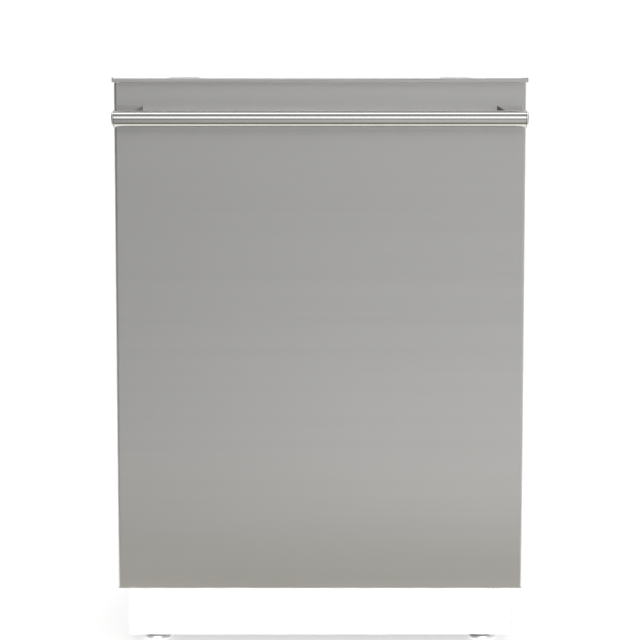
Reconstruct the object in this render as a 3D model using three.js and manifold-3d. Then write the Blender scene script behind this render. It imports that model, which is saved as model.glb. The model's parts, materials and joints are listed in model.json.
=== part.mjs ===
// A 24-inch built-in dishwasher with a hidden control strip, in millimetres.
// X runs across the machine, the door faces -Y and Z is up. The origin is on the floor, under the middle.
import * as THREE from 'three';
import { mergeVertices } from 'three/addons/utils/BufferGeometryUtils.js';
import Module from 'manifold-3d';

const wasm = await Module();
wasm.setup();

// ---- Driving dimensions -------------------------------------------------------------------------

const WIDTH = 600; // door width
const HEIGHT = 860; // floor to the worktop's underside
const DEPTH = 640; // front of the handle to the back of the base
const GAP = 0.3; // between pieces that touch
const SHEET = 1.5; // sheet steel

const HALF = WIDTH / 2;
const FRONT = -DEPTH / 2;
const BACK = DEPTH / 2;

// Handle: a polished round bar on two end brackets.
const BAR_RADIUS = 12;
const CAP_RADIUS = 12.5;
const CAP_LENGTH = 4.2;
const BAR_HALF = 295.5;
const BAR_REACH = 47; // panel to the bar's axis
const BAR_DROP = 59.2; // door top to the bar's axis
const BAR_Z = HEIGHT - BAR_DROP;
const BAR_Y = FRONT + CAP_RADIUS;

// Door: outer panel, top trim with a forward lip, inner liner.
const PANEL_Y = BAR_Y + BAR_REACH; // front face of the panel
const DOOR_BOTTOM = 106;
const DOOR_THICK = 60;
const PANEL_SHEET = 1.2;
const BEND_RADIUS = 5;
const LIP_REACH = 30;
const LIP_HEIGHT = 6;
const END_WIDTH = 3; // the trim's two raised ends
const TRIM_TOP = HEIGHT - 1.2; // its two ends stand up to HEIGHT
const TRIM_BOTTOM = TRIM_TOP - LIP_HEIGHT;
const TRIM_POCKET_TOP = TRIM_TOP - SHEET;
const LINER_Y = PANEL_Y + DOOR_THICK; // back face of the liner
const LINER_BOTTOM = 172;
const LINER_TOP = 850;
const LINER_HALF = 298.4;
const FLANGE_DEPTH = 20; // the panel's fold below the liner, kept short so that it swings clear

// Door hinge axis, along X.
const HINGE_Y = PANEL_Y + 28;
const HINGE_Z = DOOR_BOTTOM + 54;
const HINGE_PIN_RADIUS = 4;

// Tub.
const TUB_HALF = 283.5;
const TUB_FRONT = LINER_Y + 4;
const TUB_BACK = 291.5;
const TUB_BOTTOM = 176.5;
const TUB_TOP = 848;
const FRAME_HALF = 297;
const FRAME_TOP = 857;
const MOUTH_HALF = TUB_HALF - SHEET;
const MOUTH_BOTTOM = 186;
const MOUTH_TOP = 822;
const TRACK_TOP = 192.5; // the two ridges that the lower rack's wheels roll on
const FLOOR_TOP = TUB_BOTTOM + SHEET;
const CEILING = TUB_TOP - SHEET;

// Water system: sump at the origin, all spray arms on one vertical axis.
const SUMP_HOLE = 90;
const ARM_Y = 40;
const FILTER_Y = -45;
const FLOAT_AT = [-180, -120];

// Base.
const BASE_HALF = 290;
const BASE_FRONT = -162;
const BASE_FLOOR = 30;
const BASE_WALL = 10;
const BASE_TOP = TUB_BOTTOM - GAP;
const FOOT_X = 250;
const FOOT_Y = [-130, 280];
const FOOT_HEIGHT = 12;

// Racks.
const WIRE = 4;
const LOWER_RACK = { half: 258, front: -180, back: 250, floor: 238, rim: 372 };
const UPPER_RACK = { half: 264, front: -175, back: 250, floor: 530, rim: 650 };
const WHEEL_RADIUS = 18;
const WHEEL_Z = TRACK_TOP + 0.4 + WHEEL_RADIUS;
const WHEEL_Y = [-140, 200];
const RAIL_Z = [598, 628];

// ---- Finishes -----------------------------------------------------------------------------------

function finish(color, roughness, metalness) {
  return new THREE.MeshStandardMaterial({ color, roughness, metalness });
}

const BRUSHED = finish(0xb4b3b0, 0.34, 1);
const TUB_STEEL = finish(0xbdbfc0, 0.28, 1);
const ZINC = finish(0x9fa3a6, 0.45, 1);
const GREY_PLASTIC = finish(0x6b7075, 0.5, 0);
const LIGHT_PLASTIC = finish(0xd9dbdc, 0.45, 0);
const WHITE_PAINT = finish(0xf1f1ee, 0.5, 0);
const BLACK_PLASTIC = finish(0x202224, 0.45, 0);
const RUBBER = finish(0x26282a, 0.8, 0);
const COATED_WIRE = finish(0xa9aeb2, 0.4, 0);
const BITUMEN = finish(0x3a3b3c, 0.95, 0);
const CIRCUIT_GREEN = finish(0x2f5b3c, 0.5, 0);

// ---- Geometry helpers ---------------------------------------------------------------------------

/** A closed three.js geometry as a solid with its faces pointing out. */
function solid(geometry) {
  const bare = geometry.clone();
  for (const name of Object.keys(bare.attributes)) {
    if (name !== 'position') bare.deleteAttribute(name);
  }
  const merged = mergeVertices(bare, 1e-4);
  const at = merged.attributes.position;
  const triVerts = Uint32Array.from(merged.index.array);
  const [a, b, c] = [new THREE.Vector3(), new THREE.Vector3(), new THREE.Vector3()];
  let volume = 0;
  for (let i = 0; i < triVerts.length; i += 3) {
    a.fromBufferAttribute(at, triVerts[i]);
    b.fromBufferAttribute(at, triVerts[i + 1]);
    c.fromBufferAttribute(at, triVerts[i + 2]);
    volume += a.dot(b.cross(c));
  }
  if (volume < 0) triVerts.reverse();
  return new wasm.Manifold(new wasm.Mesh({ numProp: 3, vertProperties: at.array, triVerts }));
}

const join = (...solids) => wasm.Manifold.union(solids);
const cut = (whole, ...tools) => tools.reduce((left, tool) => left.subtract(tool), whole);

/** A span on one side of the middle plane: side is -1 or 1, near and far are distances from it. */
const span = (side, near, far) => (side < 0 ? [-far, -near] : [near, far]);
const around = (middle, half) => [middle - half, middle + half];

function box([x0, x1], [y0, y1], [z0, z1]) {
  const geometry = new THREE.BoxGeometry(x1 - x0, y1 - y0, z1 - z0);
  return solid(geometry.translate((x0 + x1) / 2, (y0 + y1) / 2, (z0 + z1) / 2));
}

/** A round bar along X, Y or Z. across holds its two other coordinates, in X, Y, Z order. */
function rod(axis, radius, [from, to], [first, second], sides = 16) {
  const geometry = new THREE.CylinderGeometry(radius, radius, to - from, sides);
  const middle = (from + to) / 2;
  if (axis === 'x') return solid(geometry.rotateZ(Math.PI / 2).translate(middle, first, second));
  if (axis === 'y') return solid(geometry.translate(first, middle, second));
  return solid(geometry.rotateX(Math.PI / 2).translate(first, second, middle));
}

/** An outline in the X-Y plane, raised from one height to another. */
function raise(shape, [z0, z1], curveSegments = 4) {
  const geometry = new THREE.ExtrudeGeometry(shape, { depth: z1 - z0, bevelEnabled: false, curveSegments });
  return solid(geometry.translate(0, 0, z0));
}

/** An outline in the Y-Z plane, drawn out along X. */
function drawn(shape, [x0, x1], curveSegments = 4) {
  const geometry = new THREE.ExtrudeGeometry(shape, { depth: x1 - x0, bevelEnabled: false, curveSegments });
  const turn = new THREE.Matrix4().makeBasis(
    new THREE.Vector3(0, 1, 0),
    new THREE.Vector3(0, 0, 1),
    new THREE.Vector3(1, 0, 0),
  );
  return solid(geometry.applyMatrix4(turn).translate(x0, 0, 0));
}

const outline = (points) => new THREE.Shape(points.map(([a, b]) => new THREE.Vector2(a, b)));

/** A profile of [radius, z] points turned about the vertical line through x, y. */
function turned(profile, [x, y], sides = 20) {
  const points = [...profile, profile[0]].map(([radius, z]) => new THREE.Vector2(radius, z));
  return solid(new THREE.LatheGeometry(points, sides).rotateX(Math.PI / 2).translate(x, y, 0));
}

const group = new THREE.Group();

/** Adds one named piece to the machine. */
function piece(name, shape, material) {
  const { vertProperties, triVerts } = shape.getMesh();
  const geometry = new THREE.BufferGeometry();
  geometry.setAttribute('position', new THREE.BufferAttribute(vertProperties, 3));
  geometry.setIndex(new THREE.BufferAttribute(triVerts, 1));
  geometry.computeVertexNormals();
  const mesh = new THREE.Mesh(geometry, material);
  mesh.name = name;
  group.add(mesh);
}

const SIDES = [['left', -1], ['right', 1]];

// ---- Door ---------------------------------------------------------------------------------------

const BUTTON_X = 215;
const STRIP_Y = -232; // middle of the hidden control strip
const BUTTON_HALF = [9, 6];
const DISPENSER = { x: [-75, 135], z: [440, 560], face: -203.5, back: -243 };
const CUP = { x: [-50, 10], z: [465, 535], back: -235 };
const RINSE_AT = [112, 500];
const STRIKE_Z = [832, 836];
const ARM_SPAN = [281, 284.5]; // hinge arm, distance from the middle plane

function outerPanel() {
  const back = LINER_Y - 3.5;
  const inner = HALF - PANEL_SHEET;
  const bend = HALF - BEND_RADIUS;
  const bendY = PANEL_Y + BEND_RADIUS;
  const inside = BEND_RADIUS - PANEL_SHEET;
  const shape = new THREE.Shape();
  shape.moveTo(-HALF, back);
  shape.lineTo(-HALF, bendY);
  shape.absarc(-bend, bendY, BEND_RADIUS, Math.PI, 1.5 * Math.PI, false);
  shape.lineTo(bend, PANEL_Y);
  shape.absarc(bend, bendY, BEND_RADIUS, 1.5 * Math.PI, 2 * Math.PI, false);
  shape.lineTo(HALF, back);
  shape.lineTo(inner, back);
  shape.lineTo(inner, bendY);
  shape.absarc(bend, bendY, inside, 2 * Math.PI, 1.5 * Math.PI, true);
  shape.lineTo(-bend, PANEL_Y + PANEL_SHEET);
  shape.absarc(-bend, bendY, inside, 1.5 * Math.PI, Math.PI, true);
  shape.lineTo(-inner, back);
  const skin = raise(shape, [DOOR_BOTTOM, TRIM_BOTTOM - GAP]);
  const foldBack = PANEL_Y + FLANGE_DEPTH;
  const clearance = box([-HALF - 1, HALF + 1], [foldBack, back + 1], [DOOR_BOTTOM - 1, LINER_BOTTOM]);
  const foldEdge = foldBack - 3; // clears the hinge brackets when the door is down
  const bottomFold = box([-inner, inner], [PANEL_Y + 0.5, foldEdge], [DOOR_BOTTOM, DOOR_BOTTOM + SHEET]);
  return join(cut(skin, clearance), bottomFold);
}

function topTrim() {
  const lip = [PANEL_Y - LIP_REACH, LINER_Y - SHEET];
  let shape = box([-HALF, HALF], lip, [TRIM_BOTTOM, TRIM_TOP]);
  const hollow = [END_WIDTH - HALF, HALF - END_WIDTH];
  const pocket = box(hollow, [PANEL_Y + 2.5, LINER_Y - 3.5], [TRIM_BOTTOM - 1, TRIM_POCKET_TOP]);
  shape = cut(shape, pocket, box([-45, 45], around(STRIP_Y, 9), [TRIM_BOTTOM, TRIM_TOP + 1]));
  for (const [, side] of SIDES) {
    const hole = box(
      around(side * BUTTON_X, BUTTON_HALF[0] + 0.4),
      around(STRIP_Y, BUTTON_HALF[1] + 0.4),
      [TRIM_BOTTOM, TRIM_TOP + 1],
    );
    const end = box(span(side, HALF - END_WIDTH, HALF), lip, [TRIM_TOP - SHEET, HEIGHT]);
    shape = join(cut(shape, hole), end);
  }
  return shape;
}

function doorLiner() {
  const rimFront = LINER_Y - 15.5;
  const face = [LINER_Y - SHEET, LINER_Y];
  let shape = join(
    box([-LINER_HALF, LINER_HALF], face, [LINER_BOTTOM, LINER_TOP]),
    box([-LINER_HALF, LINER_HALF], [rimFront, LINER_Y - 1], [LINER_TOP - SHEET, LINER_TOP]),
    box([-LINER_HALF, LINER_HALF], [HINGE_Y - 7.5, LINER_Y - 1], [LINER_BOTTOM, LINER_BOTTOM + SHEET]),
  );
  for (const [, side] of SIDES) {
    const edge = span(side, LINER_HALF - SHEET, LINER_HALF);
    const rim = box(edge, [rimFront, LINER_Y - 1], [LINER_BOTTOM, LINER_TOP]);
    const slot = box(
      span(side, ARM_SPAN[0] - 1.5, ARM_SPAN[1] + 1.5),
      [HINGE_Y - 12, LINER_Y - 4],
      [LINER_BOTTOM - 1, LINER_BOTTOM + 3],
    );
    shape = cut(join(shape, rim), slot);
  }
  const clear = 0.4;
  const dispenserHole = box(
    [DISPENSER.x[0] - clear, DISPENSER.x[1] + clear],
    [LINER_Y - 5, LINER_Y + 5],
    [DISPENSER.z[0] - clear, DISPENSER.z[1] + clear],
  );
  const latchSlot = box([-22, 22], [LINER_Y - 5, LINER_Y + 5], [STRIKE_Z[0] - 4, STRIKE_Z[1] + 6]);
  return cut(shape, dispenserHole, latchSlot);
}

function doorInsulation() {
  const slab = box([-276, 276], [PANEL_Y + 2.5, LINER_Y - 9.5], [185, 815]);
  const room = 5;
  const pocket = box(
    [DISPENSER.x[0] - room, DISPENSER.x[1] + room],
    [DISPENSER.back - 3, LINER_Y],
    [DISPENSER.z[0] - room, DISPENSER.z[1] + room],
  );
  return cut(slab, pocket);
}

function handleBar() {
  return rod('x', BAR_RADIUS, [-BAR_HALF, BAR_HALF], [BAR_Y, BAR_Z], 36);
}

/** A wedge from the panel to the bar, tall at its root, slanted at its inner end and hollowed for the bar. */
function handleBracket(side) {
  const root = PANEL_Y - GAP;
  const tip = BAR_Y;
  const profile = drawn(
    outline([[root, BAR_Z - 9], [root, BAR_Z + 18.5], [tip, BAR_Z + 9], [tip, BAR_Z - 9]]),
    [-HALF, HALF],
  );
  const inner = side * 257;
  const outer = side * 293;
  const plan = raise(outline([[inner, root], [outer, root], [outer, tip], [side * 270, tip]]), [700, HEIGHT]);
  const seat = rod('x', BAR_RADIUS + GAP, [-HALF, HALF], [BAR_Y, BAR_Z], 28);
  return cut(profile.intersect(plan), seat);
}

function handleCap(side) {
  const from = BAR_HALF + GAP;
  const profile = [
    [0, from],
    [CAP_RADIUS, from],
    [CAP_RADIUS, from + 1.5],
    [CAP_RADIUS - 2, from + CAP_LENGTH - 0.5],
    [0, from + CAP_LENGTH - GAP],
  ].map(([radius, along]) => new THREE.Vector2(radius, along));
  const geometry = new THREE.LatheGeometry(profile, 24).rotateZ((-side * Math.PI) / 2);
  return solid(geometry.translate(0, BAR_Y, BAR_Z));
}

function hingeArm(side) {
  const plate = span(side, ...ARM_SPAN);
  const strap = box(plate, around(HINGE_Y, 9), [HINGE_Z, 300]);
  const eye = rod('x', 9, plate, [HINGE_Y, HINGE_Z], 20);
  const hole = rod('x', HINGE_PIN_RADIUS + 0.35, span(side, 270, 299), [HINGE_Y, HINGE_Z], 20);
  return cut(join(strap, eye), hole);
}

function dispenser() {
  const { x, z, face, back } = DISPENSER;
  const body = box(x, [back, face], z);
  const cup = box(CUP.x, [CUP.back, face + 1], CUP.z);
  const filler = rod('y', 12.5, [face - 20, face + 1], RINSE_AT, 20);
  const proud = [face - 1, LINER_Y - GAP];
  const guides = [[452, 456.6], [543.4, 548]].map((height) => box([-60, 92], proud, height));
  return join(cut(body, cup, filler), ...guides);
}

/** The sliding lid, with a shallow finger dish near its leading edge. */
function detergentLid() {
  const plate = box([-58, 18], [DISPENSER.face + GAP, LINER_Y - 0.5], [457, 543]);
  return cut(plate, box([2, 10], [LINER_Y - 1.8, LINER_Y + 2], [485, 515]));
}

function rinseAidCap() {
  const [x, z] = RINSE_AT;
  const { face } = DISPENSER;
  return join(
    rod('y', 16, [face + GAP, LINER_Y - 1], RINSE_AT, 20),
    rod('y', 11.5, [face - 12, face + 1], RINSE_AT, 16),
    box(around(x, 12), [LINER_Y - 2, LINER_Y - GAP], around(z, 2.5)),
  );
}

const LATCH_PIVOT = [-248, 843];

function doorLatch() {
  const nose = STRIKE_Z[1] + 0.4;
  return join(
    box([-9, 9], [LATCH_PIVOT[0] - 4, -222], [nose + 3.6, nose + 8.6]),
    box([-6, 6], [-229, -223], [nose, nose + 4]),
    rod('x', 3, [-14, 14], LATCH_PIVOT, 12),
  );
}

function controlBoard() {
  return join(
    box([60, 270], [-256, -228], [822, 824]),
    box([80, 110], [-252, -234], [823, 834]),
    box([130, 142], [-250, -238], [823, 838]),
    box([160, 200], [-253, -232], [823, 829]),
    box([225, 255], [-251, -233], [823, 832]),
  );
}

/** A push button in the trim: cap, a collar that stops it under the trim, and a stem. */
function pushButton(x) {
  const collarTop = TRIM_POCKET_TOP - GAP;
  return join(
    box(around(x, BUTTON_HALF[0]), around(STRIP_Y, BUTTON_HALF[1]), [collarTop - 1, TRIM_TOP + 0.6]),
    box(around(x, BUTTON_HALF[0] + 2), around(STRIP_Y, BUTTON_HALF[1] + 2), [collarTop - 2.5, collarTop]),
    rod('z', 3, [846, collarTop - 2], [x, STRIP_Y], 10),
  );
}

piece('outer_panel', outerPanel(), BRUSHED);
piece('top_trim', topTrim(), BRUSHED);
piece('door_liner', doorLiner(), TUB_STEEL);
piece('door_insulation', doorInsulation(), BITUMEN);
piece('handle_bar', handleBar(), BRUSHED);
piece('dispenser', dispenser(), LIGHT_PLASTIC);
piece('detergent_lid', detergentLid(), GREY_PLASTIC);
piece('rinse_aid_cap', rinseAidCap(), GREY_PLASTIC);
piece('door_latch', doorLatch(), GREY_PLASTIC);
piece('control_board', controlBoard(), CIRCUIT_GREEN);
piece('power_button', pushButton(-BUTTON_X), BRUSHED);
piece('start_button', pushButton(BUTTON_X), BRUSHED);
for (const [name, side] of SIDES) {
  piece(`handle_bracket_${name}`, handleBracket(side), BRUSHED);
  piece(`handle_cap_${name}`, handleCap(side), BRUSHED);
  piece(`hinge_arm_${name}`, hingeArm(side), ZINC);
}

// ---- Tub and cabinet ----------------------------------------------------------------------------

function tub() {
  const inner = TUB_HALF - SHEET;
  const walls = cut(
    box([-TUB_HALF, TUB_HALF], [TUB_FRONT, TUB_BACK], [TUB_BOTTOM, TUB_TOP]),
    box([-inner, inner], [TUB_FRONT - 1, TUB_BACK - SHEET], [FLOOR_TOP, CEILING]),
  );
  const frontFrame = cut(
    box([-FRAME_HALF, FRAME_HALF], [TUB_FRONT, TUB_FRONT + 2], [TUB_BOTTOM, FRAME_TOP]),
    box([-MOUTH_HALF, MOUTH_HALF], [TUB_FRONT - 1, TUB_FRONT + 3], [MOUTH_BOTTOM, MOUTH_TOP]),
  );
  const tracks = SIDES.map(([, side]) => (
    box(span(side, 238, 266), [TUB_FRONT + 1.5, 285], [TUB_BOTTOM + 0.5, TRACK_TOP])
  ));
  return cut(
    join(walls, frontFrame, ...tracks),
    rod('z', SUMP_HOLE, [TUB_BOTTOM - 1, FLOOR_TOP + 1], [0, 0], 24),
    rod('z', 5.5, [TUB_BOTTOM - 1, FLOOR_TOP + 1], FLOAT_AT, 12),
  );
}

/** The soft seal that the door closes on, up both sides and across the top. */
function tubGasket() {
  const depth = [LINER_Y + GAP, TUB_FRONT - GAP];
  return join(
    box([-294, 294], depth, [840, 849]),
    ...SIDES.map(([, side]) => box(span(side, 284, 294), depth, [180, 848])),
  );
}

function basePan() {
  const inner = BASE_HALF - BASE_WALL;
  const tray = cut(
    box([-BASE_HALF, BASE_HALF], [BASE_FRONT, BACK], [BASE_FLOOR, BASE_TOP]),
    box([-inner, inner], [BASE_FRONT + BASE_WALL, BACK - BASE_WALL], [BASE_FLOOR + 3, BASE_TOP + 1]),
    box([-230, 230], [BASE_FRONT - 1, BASE_FRONT + BASE_WALL + 1], [60, 150]),
    box([-120, 120], [BACK - BASE_WALL - 1, BACK + 1], [50, 120]),
  );
  const corners = SIDES.flatMap(([, side]) => FOOT_Y.map((y) => [side * FOOT_X, y]));
  const bosses = corners.map((at) => rod('z', 14, [FOOT_HEIGHT + 0.4, 95], at, 12));
  const holes = corners.map((at) => rod('z', 5.6, [0, 96], at, 12));
  return cut(join(tray, ...bosses), ...holes);
}

function levellingFoot(at) {
  return join(rod('z', 20, [0, FOOT_HEIGHT], at, 12), rod('z', 5, [FOOT_HEIGHT - 1, 80], at, 10));
}

function toeKick() {
  const face = BASE_FRONT - 8;
  const returns = [face, BASE_FRONT - GAP];
  return join(
    box([-BASE_HALF, BASE_HALF], [face, face + 2], [14, 104]),
    box([2 - BASE_HALF, BASE_HALF - 2], returns, [101.5, 103]),
    ...SIDES.map(([, side]) => box(span(side, BASE_HALF - 3, BASE_HALF - 1), returns, [16, 102])),
  );
}

/** Damping mat and felt wrapped over the tub's sides and top. */
function soundBlanket() {
  return cut(
    box([-292, 292], [-170, 290], [182, 856.6]),
    box([-TUB_HALF - 0.7, TUB_HALF + 0.7], [-171, 291], [181, TUB_TOP + 0.4]),
  );
}

function hingeBracket(side) {
  const plate = span(side, BASE_HALF + GAP, BASE_HALF + 3.3);
  return join(
    rod('x', 10, plate, [HINGE_Y, HINGE_Z], 20),
    box(plate, [HINGE_Y, -100], around(HINGE_Z, 10)),
    box(plate, [-160, -100], [115, HINGE_Z]),
    rod('x', HINGE_PIN_RADIUS, span(side, 279, BASE_HALF + 2), [HINGE_Y, HINGE_Z], 16),
  );
}

/** A counterbalance spring's outer shape: a long coil with a hook at each end. */
function doorSpring(side) {
  const at = [side * 268, -60];
  return join(
    rod('z', 8, [62, 138], at, 12),
    box(around(at[0], 1.5), around(at[1], 4), [48, 63]),
    box(around(at[0], 1.5), around(at[1], 4), [137, 150]),
  );
}

function topBracket(side) {
  const across = span(side, 180, 220);
  const leg = [TUB_FRONT + 2 + GAP, TUB_FRONT + 4 + GAP];
  return cut(
    join(
      box(across, [leg[0], -150], [FRAME_TOP, HEIGHT]),
      box(across, leg, [TUB_TOP + 0.4, FRAME_TOP + 1]),
    ),
    rod('z', 2.5, [FRAME_TOP - 1, HEIGHT + 1], [side * 200, -160], 12),
  );
}

function strikePlate() {
  return join(
    box([-20, 20], [TUB_FRONT - 2.7, TUB_FRONT - GAP], [STRIKE_Z[0] - 7, STRIKE_Z[1] + 2.5]),
    box([-8, 8], [-229, TUB_FRONT - 1], STRIKE_Z),
  );
}

function upperRail(side) {
  return cut(
    box(span(side, 272, MOUTH_HALF - GAP), [-185, 270], RAIL_Z),
    box(span(side, 271, 278.5), [-186, 271], [RAIL_Z[0] + 8, RAIL_Z[1] - 8]),
  );
}

piece('tub', tub(), TUB_STEEL);
piece('tub_gasket', tubGasket(), RUBBER);
piece('base_pan', basePan(), BLACK_PLASTIC);
piece('toe_kick', toeKick(), WHITE_PAINT);
piece('sound_blanket', soundBlanket(), BITUMEN);
piece('strike_plate', strikePlate(), ZINC);
for (const [name, side] of SIDES) {
  piece(`hinge_bracket_${name}`, hingeBracket(side), ZINC);
  piece(`door_spring_${name}`, doorSpring(side), ZINC);
  piece(`top_bracket_${name}`, topBracket(side), ZINC);
  piece(`upper_rail_${name}`, upperRail(side), TUB_STEEL);
  piece(`levelling_foot_front_${name}`, levellingFoot([side * FOOT_X, FOOT_Y[0]]), ZINC);
  piece(`levelling_foot_rear_${name}`, levellingFoot([side * FOOT_X, FOOT_Y[1]]), ZINC);
}

// ---- Water system -------------------------------------------------------------------------------

function sump() {
  const bowl = [
    [0, 105], [60, 105], [92, 140], [92, 170], [100, 170], [100, BASE_TOP],
    [88.5, BASE_TOP], [88.5, 141], [58, 108], [0, 108],
  ];
  return join(
    turned(bowl, [0, 0], 20),
    rod('z', 9, [106, 204], [0, ARM_Y], 14),
    rod('x', 14, [74, 104], [20, 124], 14),
    rod('x', 10, [-100, -74], [-20, 124], 12),
  );
}

/** A sieve cup with a grip bar across its mouth. */
function coarseFilter() {
  const at = [0, FILTER_Y];
  const cup = cut(
    join(rod('z', 36, [145, 182], at, 20), rod('z', 41, [179, 184], at, 20)),
    rod('z', 33, [148, 190], at, 20),
  );
  return join(cup, box([-37, 37], around(FILTER_Y, 4), [180, 193]));
}

function fineFilter() {
  return cut(
    rod('z', 102, [FLOOR_TOP + GAP, FLOOR_TOP + 2.3], [0, 0], 24),
    rod('z', 42.5, [FLOOR_TOP, FLOOR_TOP + 3], [0, FILTER_Y], 20),
    rod('z', 10.5, [FLOOR_TOP, FLOOR_TOP + 3], [0, ARM_Y], 14),
  );
}

function float() {
  return join(rod('z', 14, [179, 197], FLOAT_AT, 14), rod('z', 4.5, [150, 180], FLOAT_AT, 10));
}

/** A two-ended spray arm on the common axis: a hub with a bore, and blades that narrow to round tips. */
function sprayArm({ reach, root, tip, blade, hubRadius, hub, bore, boreRadius }) {
  const shape = new THREE.Shape();
  shape.moveTo(0, -root);
  shape.lineTo(reach - tip, -tip);
  shape.absarc(reach - tip, 0, tip, -Math.PI / 2, Math.PI / 2, false);
  shape.lineTo(0, root);
  shape.lineTo(-(reach - tip), tip);
  shape.absarc(-(reach - tip), 0, tip, Math.PI / 2, 1.5 * Math.PI, false);
  shape.lineTo(0, -root);
  const wing = new THREE.ExtrudeGeometry(shape, {
    depth: blade[1] - blade[0], bevelEnabled: false, curveSegments: 4,
  });
  return cut(
    join(solid(wing.translate(0, ARM_Y, blade[0])), rod('z', hubRadius, hub, [0, ARM_Y], 20)),
    rod('z', boreRadius, bore, [0, ARM_Y], 16),
  );
}

function feedTube() {
  return join(
    box([-18, 18], [262, TUB_BACK - SHEET - GAP], [FLOOR_TOP + GAP, 846]),
    box([-14, 14], [26, 270], [832, CEILING - GAP]),
    rod('z', 8, [820, 834], [0, ARM_Y], 12),
    rod('y', 11, [258, 264], [0, 521], 14),
  );
}

function circulationPump() {
  return join(
    rod('x', 55, [106, 140], [60, 90], 20),
    rod('x', 42, [138, 228], [60, 90], 20),
    rod('x', 14, [104.4, 110], [20, 124], 14),
    box([150, 215], around(60, 30), [BASE_FLOOR + 3 + GAP, 60]),
  );
}

function drainPump() {
  return join(
    rod('x', 30, [-135, -101], [-20, 105], 16),
    rod('x', 22, [-200, -134], [-20, 105], 16),
    box([-185, -140], around(-20, 18), [BASE_FLOOR + 3 + GAP, 95]),
  );
}

function inletValve() {
  return join(
    box([-205, -155], [225, 275], [BASE_FLOOR + 3 + GAP, 80]),
    rod('y', 13, [270, 305], [-180, 60], 14),
    rod('z', 16, [79, 110], [-180, 250], 14),
  );
}

function junctionBox() {
  return join(
    box([150, 225], [-148, -80], [BASE_FLOOR + 3 + GAP, 92]),
    rod('x', 11, [130, 151], [-115, 70], 12),
  );
}

piece('sump', sump(), GREY_PLASTIC);
piece('coarse_filter', coarseFilter(), LIGHT_PLASTIC);
piece('fine_filter', fineFilter(), TUB_STEEL);
piece('float', float(), LIGHT_PLASTIC);
piece('feed_tube', feedTube(), GREY_PLASTIC);
piece('circulation_pump', circulationPump(), BLACK_PLASTIC);
piece('drain_pump', drainPump(), BLACK_PLASTIC);
piece('inlet_valve', inletValve(), LIGHT_PLASTIC);
piece('junction_box', junctionBox(), ZINC);
piece('lower_spray_arm', sprayArm({
  reach: 215, root: 26, tip: 13, blade: [206, 218], hubRadius: 24, hub: [200, 222], bore: [199, 212], boreRadius: 10,
}), GREY_PLASTIC);
piece('top_spray_arm', sprayArm({
  reach: 140, root: 18, tip: 10, blade: [810, 818], hubRadius: 18, hub: [808, 828], bore: [812, 829], boreRadius: 9,
}), GREY_PLASTIC);
piece('mid_spray_arm', sprayArm({
  reach: 200, root: 22, tip: 12, blade: [498, 508], hubRadius: 20, hub: [494, 513.6], bore: [502, 514],
  boreRadius: 8.2,
}), GREY_PLASTIC);

// ---- Racks --------------------------------------------------------------------------------------

const half = WIRE / 2;
const wireX = (xs, y, z) => box(xs, around(y, half), around(z, half));
const wireY = (x, ys, z) => box(around(x, half), ys, around(z, half));
const wireZ = (x, y, zs) => box(around(x, half), around(y, half), zs);

/** Evenly spaced values from first to last, both included, on a half-millimetre grid. */
function spaced(first, last, count) {
  const step = (last - first) / (count - 1);
  return Array.from({ length: count }, (_, i) => Math.round(2 * (first + step * i)) / 2);
}

/** A wire basket: a floor grid, uprights and three hoops. rack gives its outside. */
function basket(rack, { lengthwise, crosswise, hoops, uprights }) {
  const x = rack.half - half;
  const front = rack.front + half;
  const back = rack.back - half;
  const floor = rack.floor + half;
  const wires = [];
  for (const at of spaced(-x, x, lengthwise)) wires.push(wireY(at, [rack.front, rack.back], floor));
  for (const at of spaced(front, back, crosswise)) wires.push(wireX([-rack.half, rack.half], at, floor - half));
  for (const z of hoops) {
    for (const y of [front, back]) wires.push(wireX([-rack.half, rack.half], y, z));
    for (const side of [-x, x]) wires.push(wireY(side, [rack.front, rack.back], z));
  }
  const top = hoops[hoops.length - 1] + half;
  for (const at of spaced(-x, x, uprights)) {
    for (const y of [front, back]) wires.push(wireZ(at, y, [floor - WIRE, top]));
  }
  for (const at of spaced(front, back, uprights).slice(1, -1)) {
    for (const side of [-x, x]) wires.push(wireZ(side, at, [floor - half, top]));
  }
  return join(...wires);
}

function lowerRack() {
  const { floor } = LOWER_RACK;
  const parts = [basket(LOWER_RACK, { lengthwise: 6, crosswise: 4, hoops: [305, 370], uprights: 5 })];
  for (const x of [-130, 90]) {
    for (const y of spaced(-110, 190, 6)) parts.push(wireZ(x, y, [floor + 1, 318]));
    parts.push(wireY(x, [LOWER_RACK.front, LOWER_RACK.back], floor + half));
  }
  for (const [, side] of SIDES) {
    for (const y of WHEEL_Y) {
      parts.push(
        box(span(side, 236, 240.5), around(y, 5), [WHEEL_Z - 6, floor + 3]),
        box(span(side, 236, LOWER_RACK.half), around(y, 2.5), [floor, floor + 3]),
        rod('x', 4, span(side, 239, 258), [y, WHEEL_Z], 12),
      );
    }
  }
  return join(...parts);
}

function rackWheel(side, y) {
  return cut(
    rod('x', WHEEL_RADIUS, span(side, 243, 256), [y, WHEEL_Z], 20),
    rod('x', 4.4, span(side, 240, 259), [y, WHEEL_Z], 16),
  );
}

const TINE_AXIS = [0, 245]; // x and z of the folding row's hinge

function foldingTines() {
  const [x, z] = TINE_AXIS;
  const tines = spaced(-110, 180, 8).map((y) => wireZ(x, y, [z, z + 78]));
  return join(wireY(x, [-125, 195], z), ...tines);
}

const BASKET = { x: [168, 250], y: [-150, 110], z: [242.2, 368] };

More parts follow.
